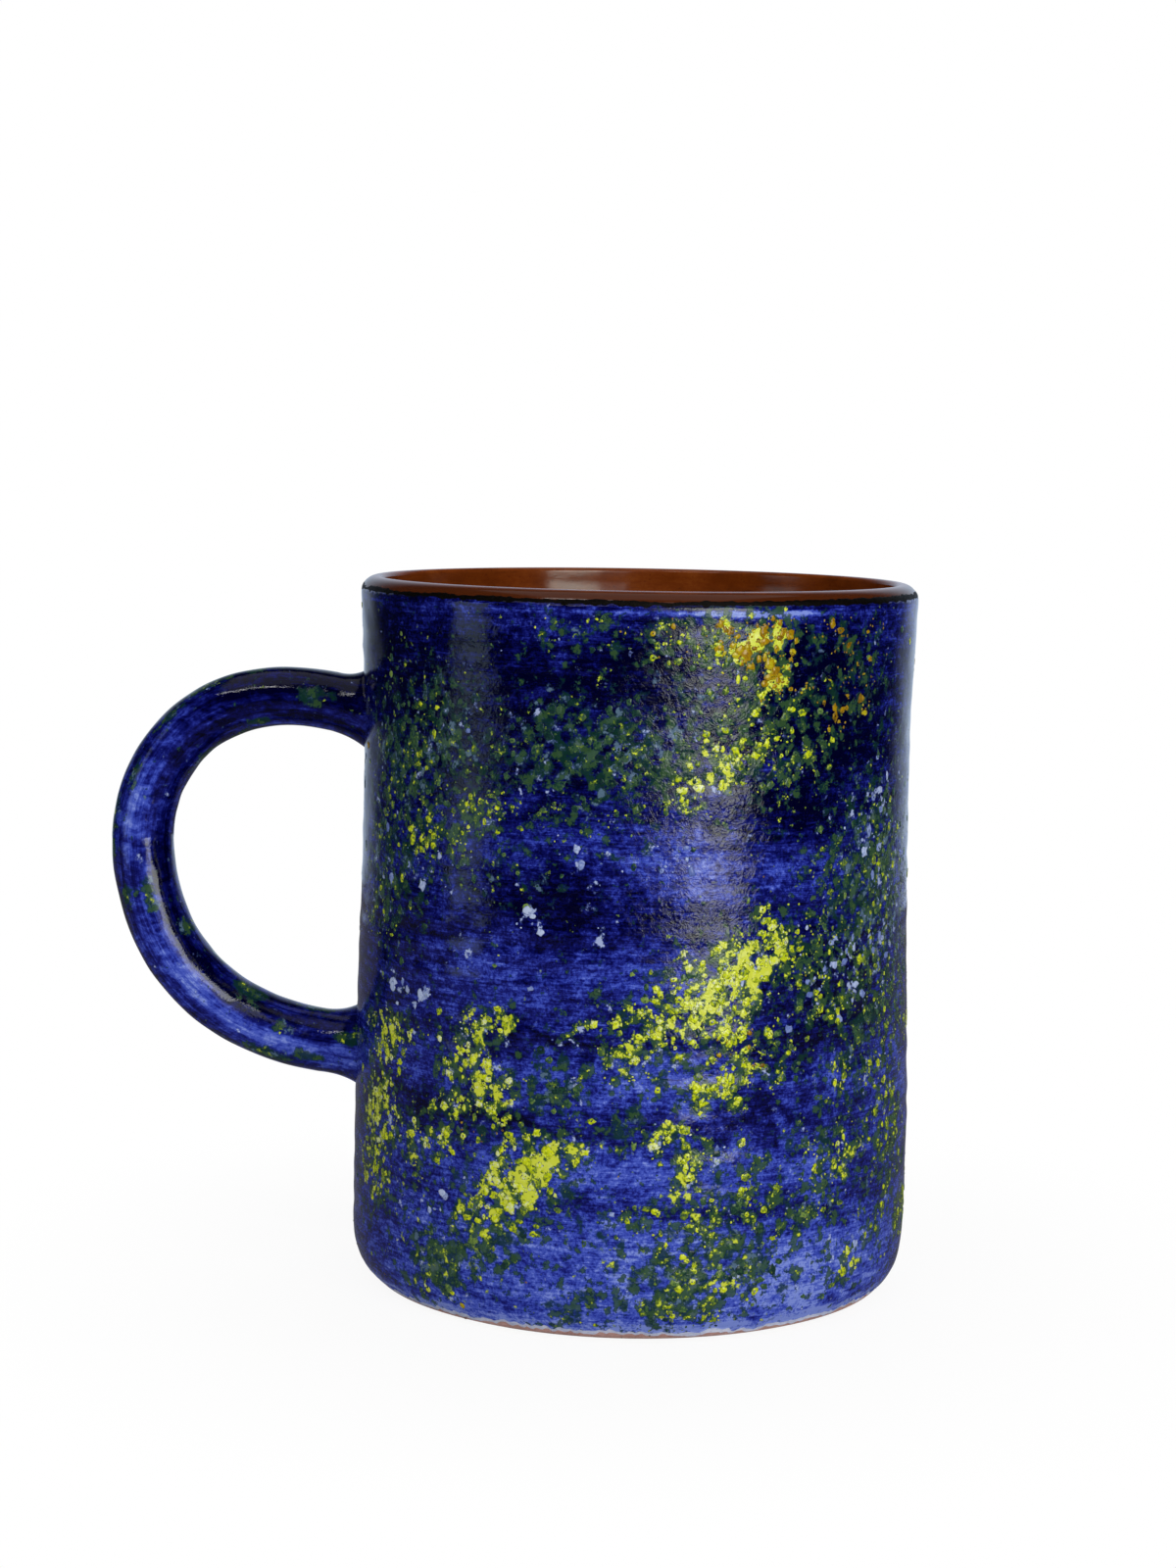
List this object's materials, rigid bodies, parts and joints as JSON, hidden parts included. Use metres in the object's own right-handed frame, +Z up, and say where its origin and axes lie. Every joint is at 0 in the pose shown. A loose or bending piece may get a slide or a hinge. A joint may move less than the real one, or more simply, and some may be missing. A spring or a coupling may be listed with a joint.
{
  "type": "clay mug",
  "caption": "Straight-sided clay mug with a round handle, blue glazed and dabbed with coloured drops outside, honey glazed inside.",
  "frame": {"origin": "centre of the flat base, on the pot's axis, at table level", "axes": "+Z up along the pot's axis, handle on the -X side, +Y away from the side that the picture shows"},
  "size_m": [0.124, 0.086, 0.108],
  "materials": {
    "bare_clay": "matt, unglazed",
    "joining_slip": "matt, unglazed",
    "white_slip": "matt, under the glaze",
    "blue_glaze": "gloss, brushed",
    "honey_glaze": "gloss, clear over red clay",
    "dark_rim": "gloss",
    "yellow_glaze": "gloss",
    "green_glaze": "gloss",
    "ochre_glaze": "gloss",
    "white_glaze": "gloss"
  },
  "bodies": {
    "root": {"clay_pot": "bare_clay", "clay_handle": "bare_clay", "upper_joint_slip": "joining_slip", "lower_joint_slip": "joining_slip", "white_slip_coat": "white_slip", "handle_slip_coat": "white_slip", "blue_glaze_coat": "blue_glaze", "handle_glaze_coat": "blue_glaze", "honey_glaze_liner": "honey_glaze", "dark_rim_line": "dark_rim", "yellow_drops": "yellow_glaze", "green_drops": "green_glaze", "ochre_drops": "ochre_glaze", "white_drops": "white_glaze"}
  },
  "joints": []
}
